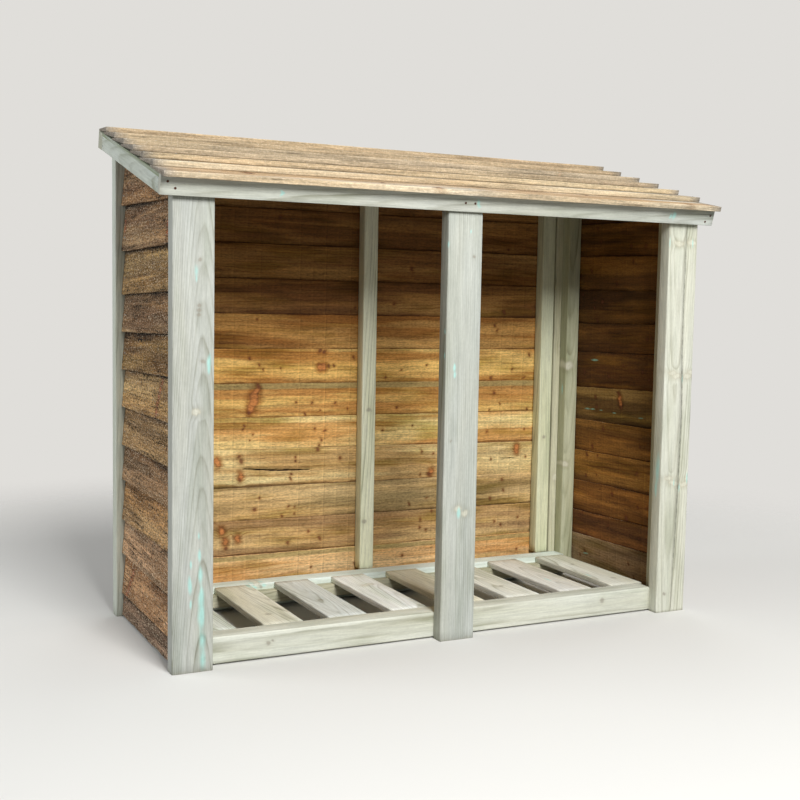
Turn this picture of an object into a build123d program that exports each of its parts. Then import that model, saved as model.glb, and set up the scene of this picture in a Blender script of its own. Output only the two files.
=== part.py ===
from build123d import *
from math import cos, sin, tan, radians
import os

os.makedirs("parts", exist_ok=True)

# Log store: two open bays under a lean-to roof. Sizes are in millimetres.
# It is drawn with x = 0 at the left post's outer side and y = 0 at the corner posts' front,
# then everything is moved together so that the middle of the outline stands over the origin.

# Body
width = 1750
depth = 687
arris = 4

# Posts: wide face forward
post_w = 115
post_t = 45
middle_step = 8

# Floor: rails on edge, ledgers under the slats, slats level with the rails
floor_top = 80
rail_foot = 4
rail_t = 66
ledger_t = 30
ledger_h = 40
slat_t = 20
slat_w = 121
slat_count = 8
slat_from_wall = 58

# Studs
stud_w = 52
stud_t = 45
stud_gap = 6

# Feather-edge boards of the walls
board_thin = 5
board_thick = 13
board_w = 150
board_lift = 7
side_show = 120
side_first_lap = 73
back_show = 116
back_first_lap = 116
board_foot = 6
wall_inset = 18
last_piece = 20

# Roof frame, square to the slope
slope = 15.2
eaves_z = 1278
eaves_y = -20
roof_over = 40
roof_back = 8
frame_h = 52
fascia_t = 20
batten_t = 45

# Roof boards
roof_count = 7
roof_lip = 28
roof_board_w = 145
last_board_w = 100
roof_thin = 6
roof_thick = 16
seat = 0.3


def rise(y):
    """Height of the roof frame's underside at depth y."""
    return eaves_z + (y - eaves_y) * tan(radians(slope))


def side_profile(points, x0, x1):
    """Solid with the given outline in y and z, running from x0 to x1."""
    face = make_face(Polyline(*points, close=True))
    return Pos(x0, 0, 0) * extrude(Plane.YZ * face, x1 - x0)


def front_profile(points, y0, y1):
    """Solid with the given outline in x and z, running from y0 to y1."""
    face = make_face(Polyline(*points, close=True))
    return Pos(0, y1, 0) * extrude(Plane.XZ * face, y1 - y0)


def eased(solid, axis, size=arris):
    """The solid with its arrises along one axis rounded."""
    return fillet(solid.edges().filter_by(axis), size)


def bar(x0, x1, y0, y1, z0, z1, axis, size=arris):
    """Planed bar with eased long arrises."""
    block = Pos((x0 + x1) / 2, (y0 + y1) / 2, (z0 + z1) / 2) * Box(x1 - x0, y1 - y0, z1 - z0)
    return eased(block, axis, size)


def upright(x0, x1, y0, y1, z0=0):
    """Post or stud with its top cut to the slope of the roof frame."""
    points = [(y0, z0), (y1, z0), (y1, rise(y1)), (y0, rise(y0))]
    return eased(side_profile(points, x0, x1), Axis.Z)


def sloped(x0, x1, s0, s1, n0, n1):
    """Bar of the roof: s runs up the slope, n stands square to it."""
    c, s = cos(radians(slope)), sin(radians(slope))
    points = [(eaves_y + a * c - b * s, eaves_z + a * s + b * c)
              for a, b in ((s0, n0), (s1, n0), (s1, n1), (s0, n1))]
    return side_profile(points, x0, x1)


nodes = {}

# Posts
back_y = depth - post_t
rail_y = post_t - middle_step
nodes["front_post_left"] = upright(0, post_w, 0, post_t)
nodes["front_post_right"] = upright(width - post_w, width, 0, post_t)
middle_x = (width - post_w) / 2
nodes["front_post_middle"] = upright(middle_x, middle_x + post_w, -middle_step, rail_y)
nodes["back_post_left"] = upright(0, post_w, back_y, depth)
nodes["back_post_right"] = upright(width - post_w, width, back_y, depth)

# Studs of the back wall, level with the back posts
stud_x = post_w + stud_gap
nodes["back_stud_left"] = upright(stud_x, stud_x + stud_w, back_y, depth, floor_top)
nodes["back_stud_right"] = upright(width - stud_x - stud_w, width - stud_x, back_y, depth, floor_top)
nodes["back_stud_middle"] = upright((width - stud_w) / 2, (width + stud_w) / 2, back_y, depth, floor_top)

# Studs of the side walls, inside the cladding
skin = board_lift + board_thick
side_in = wall_inset + skin
for side, x0 in (("left", side_in), ("right", width - side_in - stud_w)):
    nodes["side_stud_front_" + side] = upright(x0, x0 + stud_w, post_t, post_t + stud_t, board_foot)
    nodes["side_stud_back_" + side] = upright(x0, x0 + stud_w, back_y - stud_t, back_y, board_foot)

# Floor frame
nodes["front_rail"] = bar(post_w, width - post_w, rail_y, rail_y + rail_t, rail_foot, floor_top, Axis.X)
rail_x = side_in + stud_w
nodes["back_rail"] = bar(rail_x, width - rail_x, back_y - rail_t, back_y, rail_foot, floor_top, Axis.X)
bay_front = rail_y + rail_t
bay_back = back_y - rail_t
ledger_top = floor_top - slat_t
nodes["front_ledger"] = bar(rail_x, width - rail_x, bay_front, bay_front + ledger_t,
                            ledger_top - ledger_h, ledger_top, Axis.X, 2)
nodes["back_ledger"] = bar(rail_x, width - rail_x, bay_back - ledger_t, bay_back,
                           ledger_top - ledger_h, ledger_top, Axis.X, 2)
slat_x = side_in + slat_from_wall
slat_pitch = (width - 2 * slat_x - slat_w) / (slat_count - 1)
for i in range(slat_count):
    x0 = slat_x + i * slat_pitch
    nodes["slat_" + str(i + 1)] = bar(x0, x0 + slat_w, bay_front, bay_back, ledger_top, floor_top, Axis.Y)


def weatherboards(first_lap, show, top):
    """Outline of lapped feather-edge boards: outward distance and height, foot to top."""
    lifts = []
    z = first_lap
    while z < top - last_piece:
        lifts.append(z)
        z += show
    cover = board_w - show
    foot_t = board_thin + (board_thick - board_thin) * (first_lap - board_foot + cover) / board_w
    points = [(0, board_foot), (board_lift + foot_t, board_foot)]
    for z in lifts:
        tip = board_thin + (board_lift + board_thick - board_thin) * (cover / board_w)
        points.append((tip, z))
        points.append((board_lift + board_thick, z))
    points.append((board_lift + board_thin, top))
    points.append((0, top))
    return points


# Cladding of the side walls, between the front and back posts
peak = rise(depth) + 40
above = [(-100, rise(-100)), (depth + 200, rise(depth + 200)), (depth + 200, peak + 400), (-100, peak + 400)]
roof_space = side_profile(above, -100, width + 100)
left_outline = [(side_in - out, z) for out, z in weatherboards(side_first_lap, side_show, peak)]
right_outline = [(width - side_in + out, z) for out, z in weatherboards(side_first_lap, side_show, peak)]
nodes["cladding_left"] = front_profile(left_outline, post_t, back_y) - roof_space
nodes["cladding_right"] = front_profile(right_outline, post_t, back_y) - roof_space

# Cladding of the back wall, across the back of posts and studs
back_outline = [(depth + out, z) for out, z in weatherboards(back_first_lap, back_show, peak)]
nodes["cladding_back"] = side_profile(back_outline, wall_inset, width - wall_inset) - roof_space

# Roof frame: fascia and back batten across, barge boards and rafters between them
roof_l = -roof_over
roof_r = width + roof_over
frame_len = (depth + roof_back - eaves_y) / cos(radians(slope))
inner_end = frame_len - batten_t
nodes["fascia"] = sloped(roof_l, roof_r, 0, fascia_t, 0, frame_h)
nodes["roof_back_batten"] = sloped(roof_l, roof_r, inner_end, frame_len, 0, frame_h)
nodes["barge_left"] = sloped(roof_l, roof_l + fascia_t, fascia_t, inner_end, 0, frame_h)
nodes["barge_right"] = sloped(roof_r - fascia_t, roof_r, fascia_t, inner_end, 0, frame_h)
rafters = (("left", side_in), ("middle", (width - stud_w) / 2), ("right", width - side_in - stud_w))
for name, x0 in rafters:
    nodes["rafter_" + name] = sloped(x0, x0 + stud_w, fascia_t, inner_end, 0, frame_h)

# Roof boards: each thick lower edge lies on the thin upper edge of the board below
roof_show = (frame_len + roof_lip - last_board_w) / (roof_count - 1)
roof_lap = roof_board_w - roof_show
c, s = cos(radians(slope)), sin(radians(slope))
lift = 0
for i in range(roof_count):
    s0 = -roof_lip + i * roof_show
    s1 = s0 + (last_board_w if i == roof_count - 1 else roof_board_w)
    outline = [(s0, frame_h + lift), (s1, frame_h),
               (s1, frame_h + roof_thin), (s0, frame_h + lift + roof_thick)]
    points = [(eaves_y + a * c - b * s, eaves_z + a * s + b * c) for a, b in outline]
    nodes["roof_board_" + str(i + 1)] = side_profile(points, roof_l, roof_r)
    covered = roof_lap / roof_board_w
    lift = (lift + roof_thick) * covered + roof_thin * (1 - covered) + seat

# Stand the middle of the outline on the origin and write the pieces
box = Compound(children=[Compound(list(n.solids())) for n in nodes.values()]).bounding_box()
shift = Pos(-(box.min.X + box.max.X) / 2, -(box.min.Y + box.max.Y) / 2, 0)
for name, solid in nodes.items():
    export_step(shift * solid, "parts/" + name + ".step")
print(len(nodes), "pieces", box.min, box.max)
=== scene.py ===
import functools
import math
import random
from collections import namedtuple

import bmesh
import bpy
import numpy as np
from mathutils import Matrix, Vector
from mathutils.bvhtree import BVHTree


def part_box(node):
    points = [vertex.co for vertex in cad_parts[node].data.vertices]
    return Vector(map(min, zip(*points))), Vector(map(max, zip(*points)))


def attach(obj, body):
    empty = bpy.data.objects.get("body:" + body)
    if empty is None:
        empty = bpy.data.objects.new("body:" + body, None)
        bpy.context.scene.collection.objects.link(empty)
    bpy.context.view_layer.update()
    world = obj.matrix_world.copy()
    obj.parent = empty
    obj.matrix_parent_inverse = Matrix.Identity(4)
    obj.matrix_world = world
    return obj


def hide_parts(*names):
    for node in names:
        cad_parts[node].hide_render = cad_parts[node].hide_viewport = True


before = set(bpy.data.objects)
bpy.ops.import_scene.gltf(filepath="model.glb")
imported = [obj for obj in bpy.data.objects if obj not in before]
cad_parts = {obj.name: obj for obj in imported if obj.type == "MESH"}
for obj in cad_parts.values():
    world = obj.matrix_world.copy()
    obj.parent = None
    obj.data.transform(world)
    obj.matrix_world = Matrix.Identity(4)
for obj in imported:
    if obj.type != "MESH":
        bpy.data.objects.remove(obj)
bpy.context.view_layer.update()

# The log store's own places: x from the left post's outer side, y from the corner posts' front, z up, in mm
MM = 0.001
START = Vector(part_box("front_post_left")[0])
POST_T = 45
MIDDLE_X = 875


def spot(x, y, z):
    """A place on the store in the row frame, in metres."""
    return START + Vector((x, y, z)) * MM


def middle_of(node):
    """The middle of a straight bar of the frame."""
    low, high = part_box(node)
    return (Vector(low) + Vector(high)) / 2


UP = Vector((0, 0, 1))
RIGHT = Vector((1, 0, 0))
BACK = Vector((0, 1, 0))
RISE = middle_of("roof_back_batten") - middle_of("fascia")
RISE = Vector((0, RISE.y, RISE.z)).normalized()
ROOF_UP = Vector((0, -RISE.z, RISE.y))
PITCH = RISE.z / RISE.y


# Colours and objects


def linear(code):
    """An sRGB hex colour as linear red, green and blue."""
    parts = [int(code[i : i + 2], 16) / 255 for i in (1, 3, 5)]
    return tuple(c / 12.92 if c <= 0.04045 else ((c + 0.055) / 1.055) ** 2.4 for c in parts)


def standing(name, data):
    """A new object in the scene, made of its mesh, lamp or camera."""
    ob = bpy.data.objects.new(name, data)
    bpy.context.scene.collection.objects.link(ob)
    return ob


# Timber: one solid board, post or slat, with its own run of grain, knots and stains

# How many marks of each kind a timber can carry, and how much they shrink along and across the grain: a
# salt stain at 0.2 along is five times as long as it is wide
SLOTS = {"knots": 10, "pins": 16, "salts": 14}
SQUEEZE = {"knots": (0.8, 0.6), "pins": (0.95, 0.8), "salts": (0.2, 1)}
# A knot of less radius than this, in mm, is a pin, and a slot left empty holds a mark too far off to show
PIN_MM = 6.5
FAR = (9, 9, 0.001)
# How far a planed timber's arrises are eased, and how far in its sawn ends are bevelled, in metres
PLANED_ARRIS = 4 * MM
BEVEL = 0.8 * MM
# An arris takes no more than this share of a thin board's thickness
ARRIS_MOST = 0.42


def waver(t, draw, reach, waves):
    """A smooth random wander along t, up to about reach either way, from waves of these lengths."""
    total = np.zeros_like(t)
    for wave in waves:
        total = total + draw.uniform(0.5, 1) * np.sin(t * (2 * math.pi / wave) + draw.uniform(0, 6.28))
    mean_strength = 0.75
    return total * reach / (mean_strength * len(waves))


class Timber:
    """The place, size and marks of one piece of timber: u runs along it, v across it, w out of its face."""

    def __init__(self, name, origin, along, outward, length, v, back, face):
        self.name = name
        self.origin = Vector(origin)
        self.along = Vector(along).normalized()
        self.outward = Vector(outward).normalized()
        self.across = self.outward.cross(self.along)
        self.length = length
        self.v = v
        self.back = back
        self.face = face
        # Arris, slope of the cut at its top end, and how far apart its rows and columns of points are
        self.radius = PLANED_ARRIS
        self.cut = 0.0
        self.step = 30 * MM
        self.column = 10 * MM
        # What bends it, its lower edge, and how much of its width other boards cover from above and below
        self.shape = None
        self.foot = None
        self.covered_above = None
        self.covered_below = None
        # Colours, marks, a band of sapwood as middle, half width and strength, and a split
        self.tint = self.tone = "#c9c8b6"
        self.back_tints = None
        self.marks = {kind: [] for kind in SLOTS}
        self.squeeze = dict(SQUEEZE)
        self.band = (FAR[0], FAR[2], 0.0)
        self.split = None
        # Growth rings: how far apart, how much the trunk tapers, and where its pith lies across and behind
        # the face
        self.draw = random.Random(name)
        self.ring = 5 * MM
        self.taper = self.draw.uniform(0.02, 0.045) * self.draw.choice((-1, 1))
        self.pith = (self.draw.uniform(-60, 60) * MM, self.draw.uniform(-90, -40) * MM)

    def local(self, point):
        """A place in the row frame as u, v, w."""
        d = Vector(point) - self.origin
        return d.dot(self.along), d.dot(self.across), d.dot(self.outward)

    def mark(self, kind, u, v, w, radius):
        """Puts a knot or a patch of salts on the timber, radius in mm. Small dead knots are pins."""
        if kind == "knots" and radius < PIN_MM:
            kind = "pins"
        self.marks[kind].append((u, v - w if kind == "salts" else v, radius * MM))

    def open_split(self, line, spans, depth, side):
        """A drying split along line, points of u and v, open over spans of u with their widths in mm."""
        vs = [v for _, v in line]
        self.split = {
            "line": sorted(line), "spans": spans, "depth": depth, "side": side,
            "middle": (min(vs) + max(vs)) / 2, "clear": (max(vs) - min(vs)) / 2 + 6 * MM,
        }


def from_node(name, node, along, outward, cut=0.0):
    """Timber with the place and size of a straight bar of the frame."""
    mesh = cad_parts[node].data
    points = np.empty(len(mesh.vertices) * 3)
    mesh.vertices.foreach_get("co", points)
    points = points.reshape(-1, 3)
    along, outward = Vector(along).normalized(), Vector(outward).normalized()
    axes = np.array([along, outward.cross(along), outward])
    low = (points @ axes.T).min(0)
    high = (points @ axes.T).max(0)
    middle = (low + high) / 2
    origin = Vector(axes.T @ np.array([low[0], middle[1], middle[2]]))
    v, w = (high - low)[1] / 2, (high - low)[2] / 2
    piece = Timber(name, origin, along, outward, high[0] - low[0], (-v, v), (-w, -w), (w, w))
    piece.cut = cut
    piece.length -= abs(cut) * w
    return piece


# The five columns of points that open into a split start this close together, in metres
HAIR = 1e-5


def columns_of(piece):
    """How far each column of points lies from the first edge, and how far the rounded arrises drop there."""
    width = piece.v[1] - piece.v[0]
    r = min(piece.radius, width / 4)
    rounds = [0, 0.08 * r, 0.3 * r, 0.6 * r, r]
    count = max(2, round((width - 2 * r) / piece.column))
    flat = [r + (width - 2 * r) * i / count for i in range(1, count)]
    if piece.split:
        middle, clear = piece.split["middle"] - piece.v[0], piece.split["clear"]
        flat = [x for x in flat if abs(x - middle) > clear]
        flat = sorted(flat + [middle + d for d in (-clear, -HAIR, -HAIR / 2, 0, HAIR / 2, HAIR, clear)])
    inset = np.array(rounds + flat + [width - x for x in reversed(rounds)])
    near = np.minimum(inset, width - inset).clip(0, r)
    return inset, r - np.sqrt(np.maximum(r * r - (r - near) ** 2, 0))


def sink_split(piece, grain, moved, u, inset):
    """Sinks three columns of points into the wood along the split's line, and gives how much painted shade
    each shows.
    """
    # How fast it opens from its ends, how much its width varies and how often along it, how deep it is for
    # its half width, and the half width at which its painted shade is full
    opening, uneven, often, steep, full_shade_from = 0.35, 0.3, (190, 57), 6, 0.4 * MM
    split = piece.split
    line = np.interp(u, *zip(*split["line"]))
    half = np.zeros(len(u))
    for start, stop, width in split["spans"]:
        t = ((u - start) / (stop - start)).clip(0, 1)
        half = np.maximum(half, width / 2 * (4 * t * (1 - t)) ** opening)
    half = half * MM * (1 + uneven * np.sin(u * often[0]) * np.sin(u * often[1]))
    deep = np.minimum(split["depth"] * MM, half * steep)
    inside = np.zeros(len(grain))
    centre = int(np.argmin(abs(inset - (split["middle"] - piece.v[0]))))
    rows, cols = len(u), len(inset)
    for offset, spread, sink in ((-2, -1, 0), (-1, -0.9, 1), (0, 0, 1), (1, 0.9, 1), (2, 1, 0)):
        place = np.arange(rows) * cols + centre + offset + (0 if split["side"] > 0 else rows * cols)
        for points in (grain, moved):
            points[place, 1] += line - split["middle"] + spread * half
            points[place, 2] -= split["side"] * sink * deep
        inside[place] = sink * (half / full_shade_from).clip(0, 1)
    return inside


def closed_shell(rows, cols):
    """The faces of a timber as corners' numbers: the grids on its face and back, and the rims between."""
    top = np.arange(rows * cols).reshape(rows, cols)
    low = top + rows * cols
    return np.concatenate([
        np.stack([c.ravel() for c in corners], -1)
        for corners in (
            (top[:-1, :-1], top[1:, :-1], top[1:, 1:], top[:-1, 1:]),
            (low[:-1, :-1], low[:-1, 1:], low[1:, 1:], low[1:, :-1]),
            (top[:-1, 0], low[:-1, 0], low[1:, 0], top[1:, 0]),
            (top[:-1, -1], top[1:, -1], low[1:, -1], low[:-1, -1]),
            (top[0, :-1], top[0, 1:], low[0, 1:], low[0, :-1]),
            (top[-1, :-1], low[-1, :-1], low[-1, 1:], top[-1, 1:]),
        )
    ])


def told_to_finish(piece, grain, inside, half):
    """What each point tells the finish: its place on the timber, and the timber's colours, tree and marks."""
    # How far each point lies from its lower edge and from the edge of the board that laps it, which places
    # the painted shade and shadow line under each lap
    from_foot = np.full(2 * half, 1.0)
    shelter = np.full(2 * half, 1.0)
    if piece.foot is not None:
        from_foot = abs(grain[:, 1] - piece.foot)
        if piece.covered_above is not None:
            shelter[:half] = piece.v[1] - piece.v[0] - piece.covered_above - from_foot[:half]
        if piece.covered_below is not None:
            shelter[half:] = from_foot[half:] - piece.covered_below
    back_tint, back_tone = piece.back_tints or (piece.tint, piece.tone)
    kept = {
        "grain": ("FLOAT_VECTOR", "vector", grain),
        "end": ("FLOAT", "value", np.minimum(grain[:, 0], piece.length - grain[:, 0])),
        "foot": ("FLOAT", "value", from_foot),
        "shelter": ("FLOAT", "value", shelter),
        "split": ("FLOAT", "value", inside),
        "lot": ("FLOAT_VECTOR", "vector", [piece.draw.uniform(0, 9) for _ in range(3)]),
        "tree": ("FLOAT_COLOR", "color", [piece.ring, *piece.pith, piece.taper]),
        "band": ("FLOAT_VECTOR", "vector", piece.band),
    }
    for label, face, back in (("tint", piece.tint, back_tint), ("tone", piece.tone, back_tone)):
        kept[label] = ("FLOAT_COLOR", "color", np.repeat([[*linear(face), 1], [*linear(back), 1]], half, 0))
    for kind, places in piece.marks.items():
        squeeze = piece.squeeze[kind]
        kept[kind + "_squeeze"] = ("FLOAT_VECTOR", "vector", (*squeeze, 0))
        for i in range(SLOTS[kind]):
            u_mark, v_mark, radius = places[i] if i < len(places) else FAR
            place = (u_mark * squeeze[0], v_mark * squeeze[1], radius)
            kept[kind + "_" + str(i + 1)] = ("FLOAT_VECTOR", "vector", place)
    return kept


def build(piece, finishes, nodes):
    """Makes the mesh of a timber: paired rows of points on its face and back, bent by its own shape."""
    v0, v1 = piece.v
    inset, drop = columns_of(piece)
    share = inset / (v1 - v0)
    back = piece.back[0] + (piece.back[1] - piece.back[0]) * share
    face = piece.face[0] + (piece.face[1] - piece.face[0]) * share
    drop = np.minimum(drop, (face - back) * ARRIS_MOST)
    stops = max(2, round((piece.length - 2 * BEVEL) / piece.step))
    u = np.concatenate([[0], np.linspace(BEVEL, piece.length - BEVEL, stops + 1), [piece.length]])
    end = np.zeros(len(u))
    end[[0, -1]] = BEVEL
    rows, cols = len(u), len(inset)
    middle = (v0 + v1) / 2
    v = middle + (v0 + inset - middle)[None, :] * (1 - 2 * end[:, None] / (v1 - v0))
    # The sawn ends' bevel stops short of the middle of the thickness
    skins = [
        (1, face - drop, 0.6 * face + 0.4 * back),
        (-1, back + drop, 0.4 * face + 0.6 * back),
    ]
    sides = []
    for side, skin, limit in skins:
        w = skin[None, :] - side * end[:, None] * 0.9
        w = np.maximum(w, limit) if side > 0 else np.minimum(w, limit)
        sides.append(np.stack([np.repeat(u[:, None], cols, 1), v, w], -1).reshape(-1, 3))
    grain = np.concatenate(sides)
    moved = grain.copy()
    inside = sink_split(piece, grain, moved, u, inset) if piece.split else np.zeros(len(grain))
    if piece.cut:
        moved[:, 0] = grain[:, 0] * (piece.length + grain[:, 2] * piece.cut) / piece.length
    if piece.shape:
        moved = piece.shape(moved, grain)
    points = moved @ np.array([piece.along, piece.across, piece.outward]) + np.array(piece.origin)
    quads = closed_shell(rows, cols)
    mesh = bpy.data.meshes.new(piece.name)
    mesh.from_pydata(points.tolist(), [], quads.tolist())
    for finish in finishes:
        mesh.materials.append(finish)
    sheet = (rows - 1) * (cols - 1)
    on_back = (np.arange(len(quads)) >= sheet) & (np.arange(len(quads)) < 2 * sheet)
    mesh.polygons.foreach_set("material_index", (on_back * (len(finishes) - 1)).astype(np.int32))
    mesh.polygons.foreach_set("use_smooth", np.ones(len(quads), bool))
    for label, (kind, field, values) in told_to_finish(piece, grain, inside, rows * cols).items():
        if kind != "FLOAT" and np.ndim(values) < 2:
            values = np.tile(values, (len(points), 1))
        told = mesh.attributes.new(label, kind, "POINT")
        told.data.foreach_set(field, np.asarray(values, np.float32).ravel())
    mesh.update()
    ob = standing(piece.name, mesh)
    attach(ob, "root")
    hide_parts(*nodes)
    return ob


# Finishes


def add(tree, kind, *inputs, out=0, at=None, stops=None, **settings):
    """Adds a shader node with its settings, and numbers or links for its inputs, and gives one output."""
    node = tree.nodes.new("ShaderNode" + kind)
    for key, value in settings.items():
        setattr(node, key, value)
    if stops:
        ramp = node.color_ramp.elements
        while len(ramp) < len(stops):
            ramp.new(0.5)
        for element, (position, level) in zip(ramp, stops):
            element.position = position
            element.color = (level, level, level, 1)
    for key, value in [*enumerate(inputs), *(at or {}).items()]:
        if isinstance(value, bpy.types.NodeSocket):
            tree.links.new(value, node.inputs[key])
        else:
            node.inputs[key].default_value = value
    return node.outputs[out] if len(node.outputs) else node


def bare_material(name):
    """A new material whose node tree is still empty, and that tree."""
    material = bpy.data.materials.new(name)
    material.use_nodes = True
    material.node_tree.nodes.clear()
    return material, material.node_tree


# The wood's noises as waves a metre along, across and through the timber, and their detail. They come from
# real sizes in mm, length by width: the trunk's swirls 900 x 110, ripples 110 x 18, light and dark zones
# 670 x 60, streaks 290 x 10, faded patches 330 x 60. Fibres, mottling and torn fuzz are really about 0.5 mm
# wide. That is too fine to show in the render, so they are drawn coarser: 60 x 3.6, 11 x 4 and 4.5 x 3.8
CLOUDS = {
    "swirl": ((1.1, 9, 9), 2), "ripple": ((9, 55, 55), 2), "zone": ((1.5, 17, 17), 3),
    "streak": ((3.5, 100, 100), 2), "fibre": ((16, 280, 280), 2), "mottle": ((90, 240, 240), 2),
    "fade": ((3, 16, 16), 2), "fuzz": ((220, 260, 260), 1),
}
# How far the ripples push marks aside along, across and through the timber, in metres
SHAKE = (0.022, 0.018, 0.018)
# How far each mark reaches, in its own radii, from full to nothing
REACH = {
    "halo": (1.0, 3.0), "core": (0.8, 1.4), "pin": (0.7, 1.5), "pin_halo": (0.8, 3.5), "salts": (0.2, 1.2),
}
# How softly marks that touch run together, in their radii, how fast a knot's push on the rings dies away,
# how much one year's ring differs from the next, and the strength of the weakest
MELT, PUSH_FADE, YEAR_RANGE, YEAR_LEAST = 0.6, -0.16, 0.8, 0.3
# Levels across a growth ring, out from a knot's heart past its bark line, and along one stroke of the saw
RING_LEVELS = [(0.0, 0.1), (0.1, 0.0), (0.55, 0.1), (0.88, 1.0), (1.0, 0.1)]
BARK_LEVELS = [(0.0, 0.25), (0.2, 0.0), (0.34, 0.25), (0.5, 0.9), (0.65, 0.7)]
SAW_LEVELS = [(0.0, 0.8), (0.06, 0.85), (0.12, 0.0), (0.2, 0.42), (0.9, 0.5), (1.0, 0.8)]
# Wood bends light as cellulose and resin do, a little less for the air in its cells
WOOD_IOR = 1.45


def timber_finish(name, look):
    """Grain that runs through the piece: growth rings round its pith, fibres, knots, saw marks and stains."""
    material, tree = bare_material(name)
    put = functools.partial(add, tree)
    shades = {key: (*linear(value), 1) for key, value in look.items() if isinstance(value, str)}

    grain = put("Attribute", out="Vector", attribute_name="grain")
    where = put("VectorMath", grain, put("Attribute", out="Vector", attribute_name="lot"), operation="ADD")
    u, v = put("SeparateXYZ", grain), put("SeparateXYZ", grain, out=1)
    cloud = {}
    for label, (scale, detail) in CLOUDS.items():
        if label == "fuzz" and not look["fuzz_share"]:
            continue
        stretched = put("VectorMath", where, scale, operation="MULTIPLY")
        level = put("TexNoise", stretched, at={"Scale": 1.0, "Detail": detail, "Roughness": 0.55})
        cloud[label] = put("Math", level, 0.5, operation="SUBTRACT")
    swirl, ripple = cloud["swirl"], cloud["ripple"]
    wobble = put("VectorMath", SHAKE, at={"Scale": ripple}, operation="SCALE")
    shaken = put("VectorMath", grain, wobble, operation="ADD")

    # How far this point is from the nearest mark of each kind, in that mark's own radii. A mark's attribute
    # holds its place along and across the timber and its radius, and z is 0 here, so the slant distance to
    # it over its radius is the root of 1 + away * away. Knots run through the timber, and salts lie on its
    # skin and go round its arrises
    round_arris = put("VectorMath", shaken, (0, 1, -1), out=1, operation="DOT_PRODUCT")
    wrapped = put("CombineXYZ", put("SeparateXYZ", shaken), round_arris)
    nearest = {}
    for kind in SLOTS:
        squeeze = put("Attribute", out="Vector", attribute_name=kind + "_squeeze")
        flat = put("VectorMath", wrapped if kind == "salts" else shaken, squeeze, operation="MULTIPLY")
        least = 99.0
        for i in range(look[kind]):
            centre = put("Attribute", out="Vector", attribute_name=kind + "_" + str(i + 1))
            slant = put("VectorMath", flat, centre, out=1, operation="DISTANCE")
            slant = put("Math", slant, put("SeparateXYZ", centre, out=2), operation="DIVIDE")
            least = put("Math", least, slant, MELT, operation="SMOOTH_MIN")
        least = put("Math", least, least, -1.0, operation="MULTIPLY_ADD")
        nearest[kind] = put("Math", put("Math", least, 0.0, operation="MAXIMUM"), operation="SQRT")
    to_knot = nearest["knots"]

    # Growth rings: distance from the pith of a tapering trunk, with slow swirls, pushed aside round the knots
    push = put("Math", to_knot, to_knot, operation="MULTIPLY")
    push = put("Math", push, PUSH_FADE, operation="MULTIPLY")
    push = put("Math", push, operation="EXPONENT")
    trunk = put("Attribute", out="Vector", attribute_name="tree")
    taper = put("Attribute", out="Alpha", attribute_name="tree")
    rings = put("VectorMath", grain, trunk, operation="SUBTRACT")
    rings = put("VectorMath", rings, (0, 1, 1), operation="MULTIPLY")
    rings = put("VectorMath", rings, out=1, operation="LENGTH")
    rings = put("Math", rings, put("Math", u, taper, operation="MULTIPLY"), operation="SUBTRACT")
    for share, reach in ((swirl, look["swirl"]), (ripple, look["ripple"]), (push, look["push"])):
        rings = put("Math", share, reach * MM, rings, operation="MULTIPLY_ADD")
    rings = put("Math", rings, put("SeparateXYZ", trunk), operation="DIVIDE")
    late = put("Math", rings, operation="FRACT")
    late = put("ValToRGB", late, stops=RING_LEVELS)
    year = put("TexWhiteNoise", at={"W": put("Math", rings, operation="FLOOR")}, noise_dimensions="1D")
    year = put("Math", year, YEAR_RANGE, YEAR_LEAST, operation="MULTIPLY_ADD")
    late = put("Math", late, year, operation="MULTIPLY")
    fade = put("MapRange", cloud["fade"], -0.12, 0.12, look["ring_least"], 1.0)
    late = put("Math", late, fade, operation="MULTIPLY")
    late = put("Math", late, look["ring_depth"], operation="MULTIPLY", use_clamp=True)

    # The saw's marks stand across the board, a stroke apart, each as strong as chance made it
    stroke = put("Math", ripple, 4 * MM, u, operation="MULTIPLY_ADD")
    stroke = put("Math", v, look["saw_slant"], stroke, operation="MULTIPLY_ADD")
    stroke = put("Math", stroke, 1 / (look["saw_stroke"] * MM), operation="MULTIPLY")
    force = put("TexWhiteNoise", at={"W": put("Math", stroke, operation="FLOOR")}, noise_dimensions="1D")
    mark = put("Math", stroke, operation="FRACT")
    mark = put("ValToRGB", mark, stops=SAW_LEVELS)
    mark = put("Math", mark, 0.5, operation="SUBTRACT")
    mark = put("Math", mark, force, operation="MULTIPLY")

    shade = 1.0
    for level, depth in (
        (cloud["streak"], look["streak"]), (cloud["fibre"], look["fibre"]), (cloud["mottle"], look["mottle"]),
        (cloud["fade"], look["drift"]), (mark, look["saw"]),
    ):
        shade = put("Math", level, depth, shade, operation="MULTIPLY_ADD")

    zone = put("Math", cloud["zone"], look["zone"], 0.5, operation="MULTIPLY_ADD", use_clamp=True)
    warm = put("Math", swirl, 3.0, 0.5, operation="MULTIPLY_ADD", use_clamp=True)

    # A band of sapwood or growth along the board
    band = put("Attribute", out="Vector", attribute_name="band")
    sap = put("Math", swirl, 8 * MM, v, operation="MULTIPLY_ADD")
    sap = put("Math", sap, put("SeparateXYZ", band), operation="SUBTRACT")
    sap = put("Math", sap, operation="ABSOLUTE")
    sap = put("Math", sap, put("SeparateXYZ", band, out=1), operation="DIVIDE")
    sap = put("MapRange", sap, 0.8, 1.2, 1.0, 0.0)
    sap = put("Math", sap, put("SeparateXYZ", band, out=2), operation="MULTIPLY")
    sap = put("Math", sap, put("Math", cloud["streak"], look["band_patchy"], 1.0, operation="MULTIPLY_ADD"),
              operation="MULTIPLY", use_clamp=True)

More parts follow.
